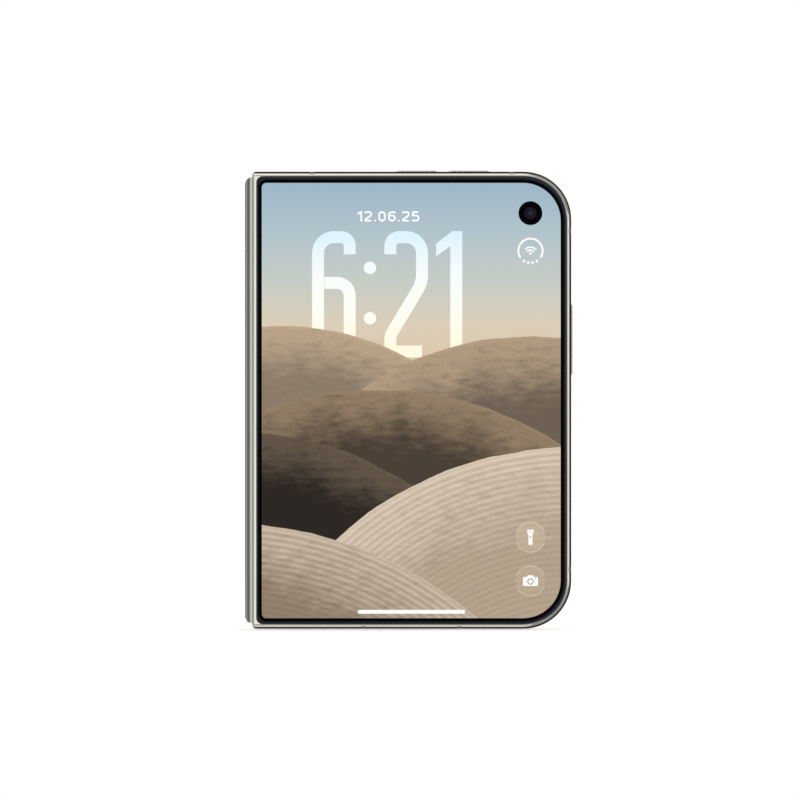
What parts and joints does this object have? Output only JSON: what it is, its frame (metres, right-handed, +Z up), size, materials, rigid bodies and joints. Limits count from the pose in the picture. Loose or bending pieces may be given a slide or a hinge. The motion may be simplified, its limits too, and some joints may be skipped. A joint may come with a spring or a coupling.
{
  "type": "foldable smartphone",
  "caption": "Foldable smartphone in two halves that open like a book, with a cover display, a geared spine hinge and a bendable inner display.",
  "frame": {"origin": "middle of the closed phone's bounding box in X and Y, at the height of its bottom edge", "axes": "+Z up to the edge with the volume buttons, -Y out of the cover display, +X towards the free edge, away from the spine"},
  "size_m": [0.0866, 0.0124, 0.1211],
  "materials": {
    "frame_metal": "polished, warm silver",
    "polished_metal": "polished, warm silver",
    "band_plastic": "satin",
    "back_glass": "satin, tinted from behind",
    "front_glass": "clear over black",
    "lens_glass": "coated",
    "camera_black": "satin",
    "diffuser": "frosted",
    "led": "glossy",
    "board": "solder mask",
    "can_metal": "satin",
    "cell": "foil pouch",
    "copper": "bare copper and bronze",
    "magnet": "plated",
    "black_plastic": "satin",
    "steel": "machined",
    "dark_steel": "machined",
    "inner_panel": "flexible film, glossy",
    "cover_panel": "lit display",
    "flex": "polyimide"
  },
  "bodies": {
    "rear_half": {"rear_frame": "frame_metal", "rear_antenna_bands": "band_plastic", "rear_glass": "back_glass", "camera_island": "polished_metal", "lens_rings": "polished_metal", "lens_windows": "lens_glass", "camera_modules": "camera_black", "flash_window": "diffuser", "flash_led": "led", "main_board": "board", "shield_cans": "can_metal", "rear_battery": "cell", "charging_coil": "copper", "charging_magnets": "magnet", "loudspeaker": "black_plastic", "haptic_motor": "can_metal", "port_shell": "steel", "port_tongue": "black_plastic", "button_switches": "black_plastic", "rear_latch_magnets": "magnet", "rear_rim": "black_plastic", "inner_display_rear": "inner_panel", "rear_hinge_arms": "steel", "rear_arm_screws": "dark_steel"},
    "spine": {"spine_cover": "frame_metal", "upper_bracket": "dark_steel", "lower_bracket": "dark_steel", "bracket_screws": "dark_steel", "hinge_pins": "steel", "friction_washers": "copper", "inner_display_fold": "inner_panel", "spine_ribbon": "flex"},
    "front_half": {"front_frame": "frame_metal", "front_antenna_bands": "band_plastic", "cover_glass": "front_glass", "cover_display": "cover_panel", "cover_camera": "camera_black", "earpiece": "black_plastic", "front_board": "board", "front_battery": "cell", "inner_camera": "camera_black", "front_latch_magnets": "magnet", "front_rim": "black_plastic", "inner_display_front": "inner_panel", "front_hinge_arms": "steel", "front_arm_screws": "dark_steel"},
    "rear_wing": {"rear_wing": "steel"},
    "front_wing": {"front_wing": "steel"},
    "lift_plate": {"lift_plate": "steel"},
    "volume_up_button": {"volume_up_button": "polished_metal"},
    "volume_down_button": {"volume_down_button": "polished_metal"},
    "side_button": {"side_button": "polished_metal"}
  },
  "joints": [
    {"name": "rear_hinge", "type": "hinge", "parent": "rear_half", "child": "spine", "pos_m": [-0.04035, -0.00032, 0.0603], "axis": [0, 0, -1], "range_deg": [0, 90], "deforming": ["inner_display_fold", "spine_ribbon"]},
    {"name": "front_hinge", "type": "hinge", "parent": "spine", "child": "front_half", "pos_m": [-0.04035, -0.00248, 0.0603], "axis": [0, 0, -1], "range_deg": [0, 90]},
    {"name": "rear_wing_tilt", "type": "hinge", "parent": "rear_half", "child": "rear_wing", "pos_m": [-0.03013, -0.00038, 0.0603], "axis": [0, 0, 1], "range_deg": [0, 7.2]},
    {"name": "front_wing_tilt", "type": "hinge", "parent": "front_half", "child": "front_wing", "pos_m": [-0.03013, -0.00242, 0.0603], "axis": [0, 0, -1], "range_deg": [0, 7.2]},
    {"name": "lift", "type": "slide", "parent": "spine", "child": "lift_plate", "axis": [1, 0, 0], "range_m": [0, 0.0007]},
    {"name": "volume_up_press", "type": "slide", "parent": "rear_half", "child": "volume_up_button", "axis": [0, 0, -1], "range_m": [0, 0.00025], "stiffness_N_per_m": 6000},
    {"name": "volume_down_press", "type": "slide", "parent": "rear_half", "child": "volume_down_button", "axis": [0, 0, -1], "range_m": [0, 0.00025], "stiffness_N_per_m": 6000},
    {"name": "side_press", "type": "slide", "parent": "rear_half", "child": "side_button", "axis": [-1, 0, 0], "range_m": [0, 0.00025], "stiffness_N_per_m": 6000}
  ],
  "couplings": [
    {"joint": "front_hinge", "follows": "rear_hinge", "ratio": 1},
    {"joint": "rear_wing_tilt", "follows": "rear_hinge", "ratio": 0.08},
    {"joint": "front_wing_tilt", "follows": "rear_hinge", "ratio": 0.08},
    {"joint": "lift", "follows": "rear_hinge", "m_per_rad": 0.00044563}
  ]
}
